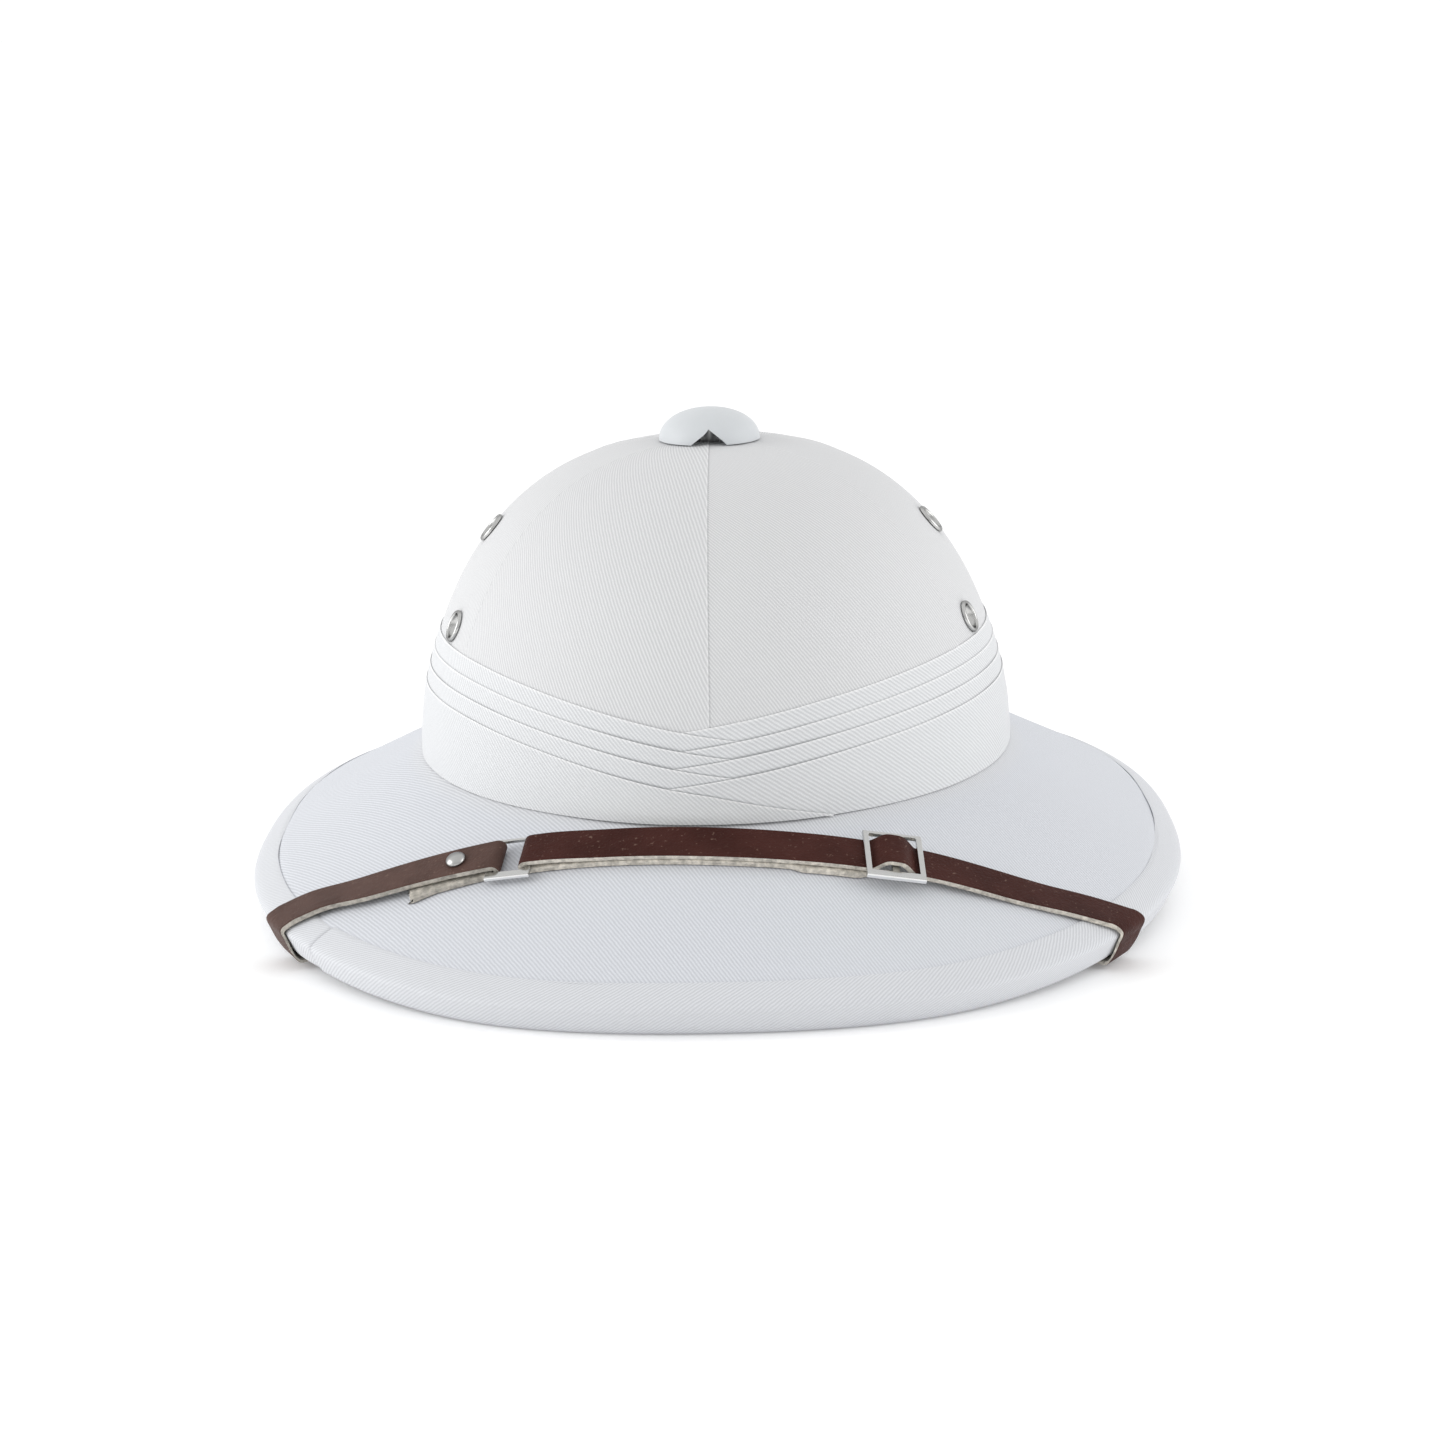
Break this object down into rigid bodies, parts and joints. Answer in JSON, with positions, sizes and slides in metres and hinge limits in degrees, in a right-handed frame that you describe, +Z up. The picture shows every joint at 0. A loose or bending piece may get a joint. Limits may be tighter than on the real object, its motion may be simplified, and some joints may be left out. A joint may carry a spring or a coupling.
{
  "type": "pith helmet",
  "caption": "Hollow sun helmet with a round crown, wide sloping brim, pleated cloth wrap, bound edge, ventilator cap, air eyelets and a leather chin strap over the brim.",
  "frame": {"origin": "under the crown, at the middle of the rim, on the plane that the helmet rests on", "axes": "+Z up, +Y towards the back, so the front faces -Y; +X is on the right when seen from the front"},
  "size_m": [0.2908, 0.347, 0.148],
  "materials": {
    "body_twill": "white cotton twill",
    "binding_twill": "white cotton twill strip",
    "wrap_twill": "pleated white cotton twill",
    "cap_paint": "smooth white paint",
    "post_metal": "plain",
    "eyelet_metal": "bright",
    "silver_metal": "silver",
    "strap_leather": "brown grain side, pale rough flesh side"
  },
  "bodies": {
    "root": {"shell": "body_twill", "brim_binding": "binding_twill", "puggaree": "wrap_twill", "ventilator_cap": "cap_paint", "cap_post": "post_metal", "short_strap": "strap_leather", "long_strap": "strap_leather", "strap_rivet": "silver_metal", "strap_link": "silver_metal", "slide_buckle": "silver_metal", "strap_anchor_left": "silver_metal", "strap_anchor_right": "silver_metal", "eyelet_upper_left": "eyelet_metal", "eyelet_upper_right": "eyelet_metal", "eyelet_lower_left": "eyelet_metal", "eyelet_lower_right": "eyelet_metal", "eyelet_rear_left": "eyelet_metal", "eyelet_rear_right": "eyelet_metal"}
  },
  "joints": []
}
